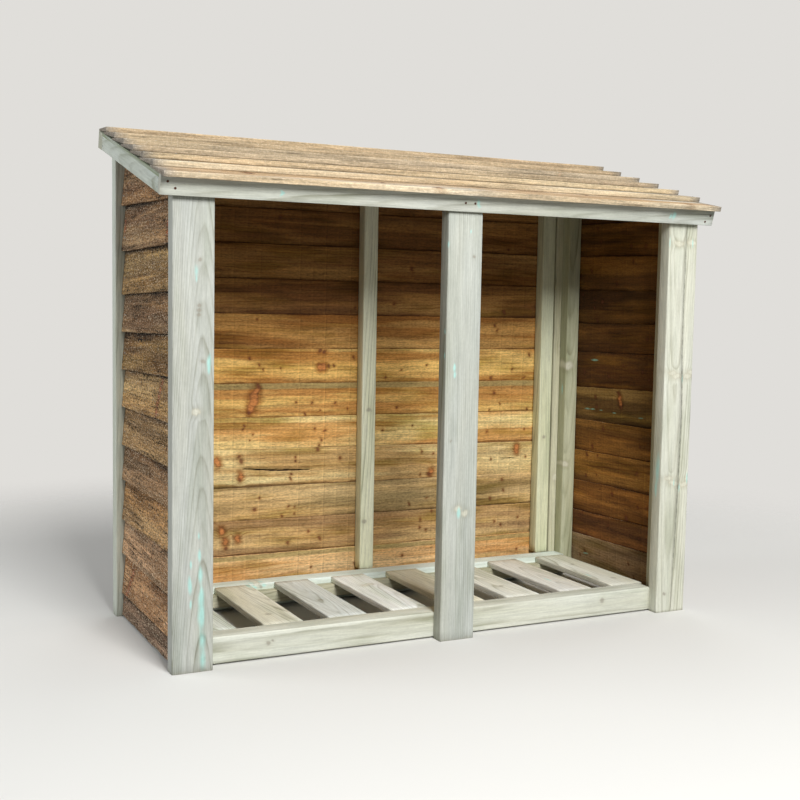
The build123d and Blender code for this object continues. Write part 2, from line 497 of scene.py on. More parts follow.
    # Knot wood: a dark bark line round a redder core, with darker wood about it
    soft = {"interpolation_type": "SMOOTHSTEP"}
    halo = put("MapRange", to_knot, *REACH["halo"], look["halo_share"], 0.0, **soft)
    bark = put("Math", to_knot, 0.5, operation="MULTIPLY")
    bark = put("ValToRGB", bark, stops=BARK_LEVELS)
    core = put("MapRange", to_knot, *REACH["core"], look["knot_share"], 0.0, **soft)
    heart = put("Mix", at={0: bark, 6: shades["knot"], 7: shades["bark"]}, out=2, data_type="RGBA")
    pin = put("MapRange", nearest["pins"], *REACH["pin"], look["knot_share"], 0.0)
    pin_halo = put("MapRange", nearest["pins"], *REACH["pin_halo"], look["halo_share"] * 0.7, 0.0, **soft)

    salts = put("Math", ripple, 1.6, nearest["salts"], operation="MULTIPLY_ADD")
    salts = put("MapRange", salts, *REACH["salts"], look["salts_share"], 0.0, **soft)

    # Under the board that laps this one, a darker zone that is partly sheltered weathering and partly painted
    # shade, with a painted shadow line at the lap's edge; the board's own foot, painted as shade on the
    # outside boards and as a highlight with some sun bleaching on the roof; and its ends; each with a ragged
    # edge
    ragged = {}
    for label, raggedness in (("shelter", 14), ("foot", 6), ("end", 20)):
        distance = put("Attribute", out="Fac", attribute_name=label)
        ragged[label] = put("Math", ripple, raggedness * MM, distance, operation="MULTIPLY_ADD")
    line = put("MapRange", ragged["shelter"], 1 * MM, look["shadow_line_mm"] * MM, look["shadow_line_share"], 0.0)
    shelter = put("MapRange", ragged["shelter"], 0.0, look["shelter_and_shade_mm"] * MM, look["shelter_and_shade_share"], 0.0)
    foot = put("MapRange", ragged["foot"], 1 * MM, 6 * MM, look["painted_foot_share"], 0.0)
    end = put("MapRange", ragged["end"], 0.0, look["end_mm"] * MM, look["end_share"], 0.0)

    wood = put("Attribute", out="Color", attribute_name="tint")
    coats = [
        (zone, put("Attribute", out="Color", attribute_name="tone"), "MIX"),
        (put("Math", warm, look["warm_share"], operation="MULTIPLY"), shades["warm"], "MULTIPLY"),
        (put("MapRange", cloud["fade"], 0.0, 0.16, 0.0, look["dull_share"]), shades["dull"], "MULTIPLY"),
        (late, shades["late"], "MULTIPLY"),
        (sap, shades["sapwood"], "MIX"),
        (halo, shades["halo"], "MULTIPLY"),
        (pin_halo, shades["halo"], "MULTIPLY"),
        (core, heart, "MIX"),
        (pin, shades["pin"], "MIX"),
        # Painted shade and a painted shadow line under each lap, the shade partly sheltered weathering
        (shelter, shades["shelter"], "MULTIPLY"),
        (line, shades["line"], "MULTIPLY"),
        # Painted shade on the outside boards' lower edges, and a painted highlight with some bleaching on the
        # roof's
        (foot, shades["foot"], "MIX"),
        (end, shades["end"], "MIX"),
        (salts, shades["salt"], "MIX"),
        # Painted shade inside a split
        (put("Attribute", out="Fac", attribute_name="split"), shades["split"], "MIX"),
    ]
    if look["fuzz_share"]:
        # Pale torn fibres, their paleness partly a painted highlight
        fuzz = put("MapRange", cloud["fuzz"], 0.05, 0.16, 0.0, look["fuzz_share"])
        coats.append((fuzz, shades["fuzz"], "MIX"))
    for share, colour, blend in coats:
        wood = put("Mix", at={0: share, 6: wood, 7: colour}, out=2, data_type="RGBA", blend_type=blend)
    wood = put("VectorMath", wood, at={"Scale": shade}, operation="SCALE")

    height = put("Math", cloud["fibre"], look["fibre_relief"], operation="MULTIPLY")
    height = put("Math", cloud["mottle"], look["mottle_relief"], height, operation="MULTIPLY_ADD")
    normal = put("Bump", at={"Strength": 1.0, "Distance": MM, "Height": height}, out="Normal")
    rough = put("Math", cloud["streak"], 0.25, look["roughness"], operation="MULTIPLY_ADD", use_clamp=True)
    put("OutputMaterial", put("BsdfPrincipled", at={
        "Base Color": wood, "Roughness": rough, "Normal": normal, "IOR": WOOD_IOR,
        "Specular IOR Level": look["gloss"],
    }))
    return material


# What a look says. Swirl, ripple and push are how far slow swirls, ripples and knots push the rings aside,
# in mm, and the saw's stroke and the widths of the lap's shade, of its line and of the ends are in mm too.
# Streak, fibre, drift, mottle and saw are how much each lightens and darkens the wood, zone is how sharply
# the tint parts from the tone, and shares run from 0 to 1. The colour under each lap is partly sheltered
# weathering and partly painted shade, the line at the lap's edge is a painted shadow, the foot colour is
# painted shade on a board's lower edge outside and a painted highlight with some bleaching on the roof,
# and the split colour is painted shade inside a split. The saw's strokes are really 10 to 20 mm apart, and
# inside and on the roof they are drawn coarser, so that they show. Roughness starts from 0.6 for planed
# softwood and 0.8 for sawn

# Pine posts and rails, pressure treated and planed: pale grey green, thin darker late wood, blue-green
# salts at knots
PLANED = {
    "ring_depth": 0.85, "ring_least": 0.3, "swirl": 8, "ripple": 2.0, "push": 3.5, "late": "#b9b6a8",
    "streak": 0.35, "fibre": 0.45, "drift": 0.15, "mottle": 0.2, "zone": 2.4, "saw_stroke": 30,
    "saw_slant": 0.0, "saw": 0.02, "warm": "#faf5e8", "warm_share": 0.6, "dull": "#dcdfd8",
    "dull_share": 0.7, "sapwood": "#8b9478", "band_patchy": 5.0, "knots": 10, "pins": 6, "salts": 14,
    "knot_share": 0.6, "knot": "#dcdac8", "bark": "#b9b29c", "pin": "#8f877a", "halo_share": 0.3,
    "halo": "#d8d3c6", "salts_share": 0.7, "salt": "#a8ded6", "shelter_and_shade_mm": 10, "shelter_and_shade_share": 0.0,
    "shelter": "#808080", "shadow_line_mm": 3, "shadow_line_share": 0.0, "line": "#808080", "painted_foot_share": 0.0,
    "foot": "#808080", "end_mm": 9, "end_share": 0.35, "end": "#a19d8a", "fuzz_share": 0.0,
    "fuzz": "#e6e2d4", "split": "#1c1913", "fibre_relief": 0.15, "mottle_relief": 0.05, "roughness": 0.62,
    "gloss": 0.35,
}
# Spruce boards, sawn and treated brown: golden with reddish knots, seen from inside the bays, where no rain
# comes. Just above each seam they carry painted shade and a painted shadow line
SAWN_IN = {
    "ring_depth": 0.7, "ring_least": 0.0, "swirl": 30, "ripple": 6, "push": 16, "late": "#b98f62",
    "streak": 0.85, "fibre": 0.9, "drift": 0.9, "mottle": 1.2, "zone": 7.0, "saw_stroke": 47,
    "saw_slant": 0.02, "saw": 0.42, "warm": "#f6d8ac", "warm_share": 0.5, "dull": "#bcbc98",
    "dull_share": 0.9, "sapwood": "#998858", "band_patchy": 0.5, "knots": 6, "pins": 16, "salts": 5,
    "knot_share": 0.8, "knot": "#c88048", "bark": "#7c4c2e", "pin": "#6a3e28", "halo_share": 0.75,
    "halo": "#b48a5a", "salts_share": 0.8, "salt": "#86bfae", "shelter_and_shade_mm": 12, "shelter_and_shade_share": 0.35,
    "shelter": "#a88864", "shadow_line_mm": 4, "shadow_line_share": 0.6, "line": "#6e5034", "painted_foot_share": 0.0,
    "foot": "#808080", "end_mm": 14, "end_share": 0.4, "end": "#6a4c2c", "fuzz_share": 0.0,
    "fuzz": "#d8c4a0", "split": "#20130b", "fibre_relief": 0.5, "mottle_relief": 0.5, "roughness": 0.75,
    "gloss": 0.25,
}
# The same boards outside: rain-darkened brown with pale torn fibres whose paleness is partly a painted
# highlight, darker under each lap from sheltered weathering and painted shade, with a painted shadow line
# under each lap and painted shade on each board's lower edge
SAWN_OUT = {
    "ring_depth": 0.6, "ring_least": 0.1, "swirl": 30, "ripple": 8, "push": 16, "late": "#b0906c",
    "streak": 1.4, "fibre": 1.5, "drift": 2.4, "mottle": 3.3, "zone": 8.0, "saw_stroke": 17,
    "saw_slant": 0.35, "saw": 0.7, "warm": "#f2dcc4", "warm_share": 0.8, "dull": "#b0aca4",
    "dull_share": 0.9, "sapwood": "#8c7c5c", "band_patchy": 1.0, "knots": 5, "pins": 6, "salts": 1,
    "knot_share": 0.75, "knot": "#b06848", "bark": "#6a4430", "pin": "#4a3324", "halo_share": 0.6,
    "halo": "#b0927a", "salts_share": 0.7, "salt": "#b4ccc8", "shelter_and_shade_mm": 36, "shelter_and_shade_share": 0.75,
    "shelter": "#86705a", "shadow_line_mm": 12, "shadow_line_share": 0.95, "line": "#33281e", "painted_foot_share": 0.4,
    "foot": "#7a6248", "end_mm": 12, "end_share": 0.5, "end": "#6b563f", "fuzz_share": 0.7,
    "fuzz": "#cdbca2", "split": "#20150c", "fibre_relief": 0.9, "mottle_relief": 1.2, "roughness": 0.9,
    "gloss": 0.15,
}
# The same boards on the roof: bleached tan by the sun, streaked grey and orange, ragged grey at the ends,
# with painted shade and a painted shadow line under each lap, a paler lower edge that is partly painted
# highlight and partly bleaching, and pale torn fibres whose paleness is partly a painted highlight
ROOF = {
    "ring_depth": 0.9, "ring_least": 0.2, "swirl": 26, "ripple": 6, "push": 16, "late": "#b49272",
    "streak": 1.5, "fibre": 1.0, "drift": 0.6, "mottle": 1.0, "zone": 5.0, "saw_stroke": 26,
    "saw_slant": 0.0, "saw": 0.15, "warm": "#fae0ba", "warm_share": 0.6, "dull": "#b8b6b8",
    "dull_share": 0.8, "sapwood": "#9d9078", "band_patchy": 1.0, "knots": 3, "pins": 2, "salts": 0,
    "knot_share": 0.95, "knot": "#84583c", "bark": "#3c2a20", "pin": "#4c3628", "halo_share": 0.7,
    "halo": "#a8825c", "salts_share": 0.0, "salt": "#7cb8a4", "shelter_and_shade_mm": 20, "shelter_and_shade_share": 0.6,
    "shelter": "#a08468", "shadow_line_mm": 5, "shadow_line_share": 0.8, "line": "#6a5442", "painted_foot_share": 0.55,
    "foot": "#dccaa8", "end_mm": 45, "end_share": 0.9, "end": "#8d867c", "fuzz_share": 0.3,
    "fuzz": "#e6dac4", "split": "#2a1c12", "fibre_relief": 0.6, "mottle_relief": 0.6, "roughness": 0.85,
    "gloss": 0.2,
}
planed = timber_finish("pine pressure treated and planed, knotty", PLANED)
few_marks = {**PLANED, "knots": 2, "pins": 3, "salts": 4}
plain_planed = timber_finish("pine pressure treated and planed", few_marks)
sawn_inside = timber_finish("spruce sawn and treated, sheltered", SAWN_IN)
sawn_outside = timber_finish("spruce sawn and treated, weathered", SAWN_OUT)
roof_sawn = timber_finish("spruce sawn, sun bleached", ROOF)


# Posts, studs, rails and slats

# Posts and studs: tint, tone, where the pith lies across and behind the face in mm, growth ring in mm, and
# taper
UPRIGHTS = {
    "front_post_left": ("#c0c4bf", "#b2b5af", (-27, -48), 4.2, -0.042),
    "front_post_middle": ("#c0c4be", "#b1b6af", (-88, -34), 5.5, 0.012),
    "front_post_right": ("#dbddd1", "#cccebf", (14, -52), 5.5, 0.02),
    "back_post_left": ("#dde3da", "#cbd2c6", (70, -30), 5, 0.02),
    "back_post_right": ("#cfcdb5", "#bdbb9f", (-30, -50), 5, 0.03),
    "back_stud_left": ("#cfcdb2", "#c2bfa1", (60, -30), 5, 0.02),
    "back_stud_middle": ("#eef1dc", "#eceed2", (40, -60), 5, 0.02),
    "back_stud_right": ("#e2e5ca", "#d2d5b3", (-50, -20), 5, 0.02),
    "side_stud_front_left": ("#c4c2ae", "#b3b19a", (40, -60), 5, 0.02),
    "side_stud_front_right": ("#c4c2ae", "#b3b19a", (40, -60), 5, 0.02),
    "side_stud_back_left": ("#c2bfa6", "#b0ad92", (-40, -60), 5, 0.02),
    "side_stud_back_right": ("#c0c2a7", "#acad8f", (12, -46), 5, 0.03),
}

# Knots and blue-green salts that show on the planed timbers, as x, y, z and radius in mm
KNOT_PLACES = {
    "front_post_left": [
        (74, 0, 1122, 4.5), (71, 0, 1002, 4), (71, 0, 989, 4.5), (71, 0, 976, 4), (82, 0, 853, 4.5),
        (87, 0, 37, 5), (66, 0, 713, 7),
    ],
    "front_post_middle": [(868, -8, 402, 7), (893, -8, 388, 7), (905, -8, 1155, 3.5), (838, -8, 610, 3)],
    "front_post_right": [
        (1665, 0, 803, 6.6), (1684, 0, 791, 8), (1728, 0, 788, 8), (1747, 0, 802, 6.6), (1670, 0, 449, 6.6),
        (1690, 0, 435, 8), (1730, 0, 431, 8), (1748, 0, 447, 6.6), (1676, 0, 1222, 8), (1728, 0, 1228, 8),
        (1669, 0, 60, 4),
    ],
    "front_rail": [(1444, 37, 55, 6), (288, 37, 46, 5), (302, 37, 52, 3)],
    "back_rail": [(448, 584, 80, 7), (462, 577, 70, 5)],
    "back_stud_middle": [(874, 642, 640, 6), (862, 642, 250, 6)],
    "side_stud_back_right": [(1672, 597, 790, 12), (1668, 597, 420, 8)],
    "back_post_right": [(1672, 642, 850, 10), (1664, 642, 360, 12)],
    "back_stud_right": [(1600, 642, 520, 5)],
    "slat_3": [(560, 300, 80, 6)],
    "slat_4": [(770, 420, 80, 9), (790, 428, 80, 8)],
    "slat_6": [(1180, 240, 80, 6)],
    "slat_8": [(1590, 420, 80, 6), (1602, 190, 80, 5)],
    "slat_2": [(350, 210, 80, 6)],
}
SALT_PLACES = {
    "front_post_left": [
        (65, 0, 1094, 7), (65, 0, 1074, 4), (99, 0, 848, 7), (100, 0, 828, 4), (52, 0, 300, 4),
        (50, 0, 239, 7), (51, 0, 190, 4), (74, 0, 380, 4), (76, 0, 325, 6), (78, 0, 270, 8),
        (80, 0, 210, 10), (82, 0, 150, 11), (84, 0, 90, 11), (86, 0, 35, 10),
    ],
    "front_post_middle": [
        (846, -8, 826, 6), (848, -8, 804, 5), (871, -8, 388, 8), (818, -6, 1190, 6), (818, 2, 860, 5),
        (818, 2, 930, 4), (892, -8, 1230, 3.5),
    ],
    "front_post_right": [
        (1708, 0, 782, 4), (1712, 0, 424, 5), (1744, 0, 446, 4), (1690, 0, 436, 3), (1731, 0, 1226, 4),
        (1639, 2, 1228, 5), (1636, 20, 472, 11), (1636, 24, 410, 6),
    ],
    "fascia": [(1626, -27, 1303, 7), (1614, -27, 1300, 5), (292, -27, 1301, 6), (905, -27, 1306, 7)],
    "back_rail": [(436, 577, 68, 9), (474, 577, 72, 8), (430, 590, 80, 8), (468, 598, 80, 8)],
    "slat_2": [(412, 560, 80, 9)],
    "slat_7": [(1377, 257, 80, 5)],
    "slat_8": [(1545, 259, 80, 5)],
    "side_stud_back_right": [(1640, 597, 700, 5)],
}

# Whorls of knots spread like wings across the right post, and salts run down the level timbers in short drips
MARK_SHAPES = {
    "front_post_left": {"salts": (0.28, 1)}, "front_post_middle": {"salts": (0.45, 1)},
    "front_post_right": {"knots": (0.95, 0.42)},
    "fascia": {"salts": (1, 0.45)}, "back_rail": {"salts": (0.7, 0.9)},
}

# The long drying shake down the right post's face, as x and z in mm. It is open between two heights, in
# metres, and its width and depth are in mm
POST_SHAKE = [
    (1696, 0), (1699, 100), (1704, 250), (1709, 425), (1710, 500), (1713, 652), (1709, 783), (1706, 853),
    (1704, 1040), (1705, 1150), (1707, 1275),
]
SHAKE_OPEN, SHAKE_WIDTH, SHAKE_DEPTH = (0.004, 1.285), 5.5, 9


def put_marks(piece, node):
    """Puts a node's knots and salts on its timber, in the shape that they have there."""
    piece.squeeze.update(MARK_SHAPES.get(node, {}))
    for kind, places in (("knots", KNOT_PLACES), ("salts", SALT_PLACES)):
        for x, y, z, radius in places.get(node, []):
            piece.mark(kind, *piece.local(spot(x, y, z)), radius)


for node, (tint, tone, pith, ring, taper) in UPRIGHTS.items():
    piece = from_node("timber_" + node, node, UP, -BACK, -PITCH)
    piece.tint, piece.tone = tint, tone
    piece.pith = (pith[0] * MM, pith[1] * MM)
    piece.ring, piece.taper = ring * MM, taper
    put_marks(piece, node)
    if node == "front_post_right":
        piece.step = 8 * MM
        line = [piece.local(spot(x, 0, z))[:2] for x, z in POST_SHAKE]
        piece.open_split(line, [(*SHAKE_OPEN, SHAKE_WIDTH)], SHAKE_DEPTH, 1)
    build(piece, [planed if node.startswith("front") else plain_planed], [node])

# Rails have flat, straight grain. In mm: their rings, the other level timbers' arrises, half a barge
# board's height, and the room that its face leaves for nail heads inside the roof's outline
RAIL_RING, RAIL_TAPER = 7, 0.004
LEVEL_ARRIS = 2
BARGE_HALF = 26
NAIL_ROOM = 0.9
# Level and sloping timbers: tint, tone, the way they run and the way their face looks
LEVEL = {
    "front_rail": ("#dde0d6", "#cfd2c6", RIGHT, -BACK), "back_rail": ("#e8f3f0", "#dce8e2", RIGHT, -BACK),
    "front_ledger": ("#c4c2ac", "#b4b299", RIGHT, -BACK),
    "back_ledger": ("#c4c2ac", "#b4b299", RIGHT, -BACK), "fascia": ("#d2d6cf", "#c3c8be", RIGHT, -RISE),
    "roof_back_batten": ("#c9cbbb", "#b9bbaa", RIGHT, -RISE),
    "barge_left": ("#dae0d9", "#c8cfc5", RISE, -RIGHT), "barge_right": ("#dae0d9", "#c8cfc5", RISE, RIGHT),
    "rafter_left": ("#c2c0a8", "#b0ae94", RISE, ROOF_UP),
    "rafter_middle": ("#c2c0a8", "#b0ae94", RISE, ROOF_UP),
    "rafter_right": ("#c2c0a8", "#b0ae94", RISE, ROOF_UP),
}
for node, (tint, tone, along, out) in LEVEL.items():
    piece = from_node("timber_" + node, node, along, out)
    piece.tint, piece.tone = tint, tone
    if node.endswith("_rail"):
        piece.taper, piece.ring = RAIL_TAPER, RAIL_RING * MM
    else:
        piece.radius = LEVEL_ARRIS * MM
    if node.startswith("barge"):
        # The top edge has greened where the roof boards keep it damp
        top_edge = BARGE_HALF * MM * (1 if piece.across.dot(ROOF_UP) > 0 else -1)
        piece.band = (top_edge * 0.92, 7 * MM, 0.75)
        piece.face = tuple(w - NAIL_ROOM * MM for w in piece.face)
    put_marks(piece, node)
    build(piece, [plain_planed], [node])

# Tint and tone of each slat, from the left
SLAT_TINTS = [
    ("#e6ede8", "#d1d8cc"), ("#ecede0", "#d7d5c1"), ("#edf3f1", "#ccd2ce"), ("#fafcfd", "#f4faf4"),
    ("#f6f6e8", "#e0ddc8"), ("#f6faf6", "#e3e4d8"), ("#eff1ec", "#dddad0"), ("#eef2ec", "#d9dacd"),
]
for i, (tint, tone) in enumerate(SLAT_TINTS):
    node = "slat_" + str(i + 1)
    piece = from_node("floor_" + node, node, BACK, UP)
    piece.tint, piece.tone = tint, tone
    put_marks(piece, node)
    build(piece, [plain_planed], [node])


# Walls of lapped feather-edge boards

# A board's thick lower edge lies out over the one below by its lift, and it stands a hair off the studs.
# It is drawn 0.9 mm thinner than the real 13 mm, which leaves room for its nail heads inside the outline. All
# is in mm, and each board's edge is given at its two ends, as the store was nailed up
BOARD_W, BOARD_THIN, BOARD_THICK, BOARD_LIFT = 150, 5, 12.1, 7.5
BOARD_FOOT = 6
OFF_STUDS = 0.2
BACK_START = 18
SPLIT_DEPTH = 5
LEFT_FEET = [
    (6, 6), (75, 76), (190, 205), (315, 313), (437, 441), (550, 551), (673, 670), (800, 788), (917, 904),
    (1034, 1020), (1160, 1153), (1280, 1294),
]
RIGHT_TOPS = [
    (164, 157), (258, 244), (368, 359), (482, 472), (595, 588), (728, 706), (848, 838), (953, 942),
    (1064, 1064), (1180, 1191), (1300, 1306), (1420, 1426),
]
BACK_TOPS = [
    (154, 149), (273, 261), (384, 378), (518, 494), (620, 611), (734, 727), (850, 843), (966, 959),
    (1082, 1075), (1198, 1191), (1314, 1307), (1430, 1423), (1546, 1539),
]
# The boards' tints and tones from the foot up: outside, where rain browns them, and inside, where the back
# wall's stay golden. The side walls' inside tints are darkened with painted shade, most on the seventh to
# ninth boards
OUTSIDE_TINTS = [
    ("#a28975", "#756152"), ("#c69d74", "#967252"), ("#e1c1a0", "#a88f75"), ("#c8a372", "#9b7c56"),
    ("#a98662", "#7d6348"), ("#ba9b6e", "#907654"), ("#c9aa76", "#9e815a"), ("#a07f4e", "#765936"),
    ("#a58863", "#7e6349"), ("#caa971", "#977b51"), ("#ae8c64", "#7d6148"), ("#aa8964", "#7f6249"),
]
SIDE_INSIDE_SHADED_TINTS = [
    ("#9d8566", "#78624c"), ("#8c6136", "#603e23"), ("#ac7b40", "#7d5429"), ("#ac8142", "#77542b"),
    ("#936933", "#69461f"), ("#9a7d4a", "#69502d"), ("#8a6329", "#5d3c1c"), ("#7b5629", "#543719"),
    ("#715126", "#4b3118"), ("#966d36", "#684724"), ("#8b6430", "#5c3d1f"), ("#8f6833", "#604021"),
]
BACK_INSIDE_TINTS = [
    ("#e2c08d", "#d4a46a"), ("#cbaf7d", "#a38660"), ("#d2b785", "#9d885e"), ("#e4d099", "#c1a26e"),
    ("#efd899", "#d4a768"), ("#e7c67a", "#be8e50"), ("#e8c57a", "#be8b4a"), ("#c79c5c", "#9c6c36"),
    ("#aa8049", "#7d5630"), ("#b58a50", "#8a6034"), ("#a67c46", "#7a542c"), ("#b08650", "#845c32"),
    ("#a87e4a", "#7c5630"),
]
# Start is where the boards begin along the wall, and feet are their lower edges
Wall = namedtuple("Wall", "label node along outward start feet outside inside")
WALLS = [
    Wall("left", "cladding_left", BACK, -RIGHT, POST_T, LEFT_FEET, OUTSIDE_TINTS, SIDE_INSIDE_SHADED_TINTS),
    Wall("right", "cladding_right", BACK, RIGHT, POST_T, [(a - BOARD_W, b - BOARD_W) for a, b in RIGHT_TOPS],
         OUTSIDE_TINTS, SIDE_INSIDE_SHADED_TINTS),
    Wall("back", "cladding_back", RIGHT, BACK, BACK_START, [(a - BOARD_W, b - BOARD_W) for a, b in BACK_TOPS],
         OUTSIDE_TINTS[6:] + OUTSIDE_TINTS[:7], BACK_INSIDE_TINTS),
]
# Bands of paler wood along two boards of the back wall: board, height and half width in mm
SAP_BANDS = [(0, 142, 8), (5, 720, 10)]
# Knots that show, as the wall's length and height with a radius in mm; the left wall's are seen from outside
WALL_KNOTS = {
    "back": [
        (458, 815, 3), (489, 795, 3), (506, 778, 2.5), (568, 781, 2), (837, 817, 3), (710, 841, 6),
        (727, 836, 6), (725, 785, 6.6), (712, 783, 6.6), (743, 788, 4), (762, 789, 3), (486, 724, 5),
        (481, 706, 8), (475, 686, 11), (468, 666, 11), (461, 648, 8), (457, 632, 5), (623, 666, 3),
        (680, 664, 3.5), (771, 659, 3.5), (711, 637, 2.5), (659, 623, 3), (816, 639, 2.5), (436, 592, 3),
        (434, 580, 3), (468, 562, 2.5), (459, 541, 2), (693, 574, 3), (730, 565, 4.5), (718, 533, 3),
        (710, 516, 3), (702, 503, 4.5), (343, 477, 6.6), (352, 465, 7), (422, 487, 5), (429, 472, 5.5),
        (623, 478, 3), (622, 466, 3), (788, 468, 4), (427, 421, 6.6), (424, 411, 4), (608, 420, 3.5),
        (607, 405, 3.5), (498, 342, 3), (478, 305, 5), (602, 307, 3.5), (623, 305, 2.5), (625, 280, 2.5),
        (579, 274, 3), (363, 238, 6.6), (418, 211, 6.6), (374, 203, 6.6), (381, 178, 5), (674, 217, 3.5),
        (717, 190, 3.5), (603, 180, 4), (684, 92, 3), (852, 88, 3), (1023, 771, 3), (959, 748, 3.5),
        (1124, 787, 3), (1007, 638, 3.5), (954, 557, 3), (1072, 570, 2.5), (1109, 477, 3.5), (1159, 466, 3),
        (1151, 401, 6.6), (1147, 390, 5), (1111, 390, 3), (1134, 307, 3.5), (1063, 289, 3), (1154, 258, 3),
        (1108, 230, 3.5), (1134, 189, 3), (1108, 199, 3.5), (1039, 103, 3.5), (1555, 823, 3.5),
        (1483, 770, 3.5), (1394, 738, 4), (1536, 738, 3.5), (1405, 684, 4), (1390, 620, 3),
        (1434, 640, 2.5), (1550, 622, 3), (1380, 540, 3.5), (1545, 543, 3), (1511, 479, 6.6),
        (1510, 465, 6.6), (1551, 440, 3), (1398, 438, 3), (1450, 358, 3.5), (1457, 317, 3),
        (1402, 289, 3.5), (1423, 200, 3.5), (1524, 210, 3), (1452, 185, 3), (1521, 90, 3.5),
    ],
    "right": [
        (480, 679, 4), (475, 643, 4), (343, 702, 4), (338, 686, 6.6), (332, 668, 6.6), (327, 654, 4),
        (430, 568, 4), (498, 499, 4), (216, 527, 3), (229, 432, 5), (363, 340, 4), (381, 222, 4),
        (281, 264, 6), (458, 1024, 5), (180, 905, 4), (410, 760, 4), (519, 99, 4),
    ],
    "left": [
        (203, 780, 7), (214, 757, 7), (226, 734, 7), (234, 711, 7), (241, 688, 7), (528, 165, 7),
        (541, 143, 7), (555, 122, 7), (570, 102, 7), (584, 84, 7), (617, 1245, 6.6), (617, 1222, 6.6),
        (131, 1218, 6.6), (131, 1190, 6.6), (247, 423, 4), (260, 404, 4), (274, 384, 4), (284, 300, 4),
        (293, 281, 4), (302, 262, 4), (560, 860, 5), (300, 1110, 4), (480, 1005, 4), (200, 520, 4),
    ],
}
WALL_SALTS = {
    "right": [
        (532, 632, 4), (500, 633, 3.5), (452, 633, 3), (372, 630, 3), (221, 625, 4), (518, 93, 5),
        (489, 816, 4),
    ],
    "left": [(222, 16, 9)],
}
# Drying splits on the inside: board, its line along and up the wall, and where it is open, with widths in mm
WALL_SPLITS = {
    "back_board_4": ([(439, 445), (503, 440), (564, 435), (611, 434), (668, 432), (1450, 437), (1501, 436)],
                     [(434, 678, 5.5), (1444, 1507, 2.8)]),
    "back_board_5": ([(945, 556), (1010, 554)], [(945, 1010, 2.2)]),
}


def wall_board(wall, k):
    """One lapped board, thick lower edge out over the board below, thin upper edge against the studs."""
    label, node, along, outward, start, feet, outside, inside = wall
    low, high = (Vector(corner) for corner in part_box(node))
    length = abs((high - low).dot(along))
    inner = -max(high.dot(-outward), low.dot(-outward))
    origin = along * min(low.dot(along), high.dot(along)) + outward * inner
    name = label + "_board_" + str(k + 1)
    foot = feet[k] if k else (BOARD_FOOT, BOARD_FOOT)
    top = [z + BOARD_W for z in feet[k]]
    width = max(top[0] - foot[0], top[1] - foot[1])
    share = min(width / BOARD_W, 1)
    piece = Timber(name, origin, along, outward, length, (0, 1), (0, 0), (1, 1))
    sign = 1 if piece.across.z > 0 else -1
    back = (BOARD_LIFT * share * MM, OFF_STUDS * MM)
    face = ((BOARD_LIFT + BOARD_THICK) * share * MM, (BOARD_THIN + OFF_STUDS) * MM)
    piece.v = tuple(sorted((0, sign * width * MM)))
    piece.back, piece.face = (back, face) if sign > 0 else (back[::-1], face[::-1])
    piece.foot = 0
    if k + 1 < len(feet):
        piece.covered_above = (sum(top) - sum(feet[k + 1])) / 2 * MM
    if k:
        piece.covered_below = (sum(feet[k - 1]) + 2 * BOARD_W - sum(foot)) / 2 * MM
    piece.radius, piece.column, piece.step = 1.2 * MM, 12 * MM, 12 * MM
    piece.tint, piece.tone = outside[k]
    piece.back_tints = inside[k]
    across = piece.draw.uniform(-40, 40) * MM
    piece.pith = (across, piece.draw.choice((-1, 1)) * piece.draw.uniform(45, 80) * MM)
    piece.ring = piece.draw.uniform(7, 11) * MM
    piece.taper = piece.draw.uniform(0.015, 0.04) * piece.draw.choice((-1, 1))

    def edges(u):
        """The lower and upper edge's heights at distance u, in metres, with their small waves."""
        wave = random.Random(name + "edge")
        t = u / length
        rough_foot = waver(u, wave, 1.5 * MM, (0.31, 0.13, 0.047))
        rough_top = waver(u, wave, 0.9 * MM, (0.43, 0.17, 0.06))
        straight_foot = (foot[0] + (foot[1] - foot[0]) * t) * MM
        straight_top = (top[0] + (top[1] - top[0]) * t) * MM
        return straight_foot + rough_foot, straight_top + rough_top

    def shape(moved, grain):
        """Bends the board between its edges and lets its foot spring off the board below in places."""
        u = grain[:, 0]
        height = sign * grain[:, 1] / (width * MM)
        lower, upper = edges(u)
        wave = random.Random(name + "spring")
        spring = waver(u, wave, 0.5 * MM, (0.55, 0.23)) - 0.1 * MM
        out = moved.copy()
        out[:, 1] = sign * (lower + (upper - lower) * height)
        out[:, 2] += spring * (1 - height) ** 2
        return out

    def place(a, z):
        """Where a spot on the wall, a along it and z up, lies on the unbent board as u and v."""
        u = (a - start) * MM
        lower, upper = (e[0] for e in edges(np.array([u])))
        return u, sign * (z * MM - lower) / (upper - lower) * width * MM

    piece.shape, piece.place = shape, place
    return piece


def trimmed(ob, point, normal):
    """Cuts off what stands above the roof's underside and closes the cut."""
    bm = bmesh.new()
    bm.from_mesh(ob.data)
    whole = bm.verts[:] + bm.edges[:] + bm.faces[:]
    cut = bmesh.ops.bisect_plane(bm, geom=whole, plane_co=point, plane_no=normal, clear_outer=True)
    rim = [e for e in cut["geom_cut"] if isinstance(e, bmesh.types.BMEdge)]
    if rim:
        bmesh.ops.holes_fill(bm, edges=rim, sides=0)
    bm.to_mesh(ob.data)
    bm.free()


UNDERSIDE = Vector(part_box("fascia")[0])
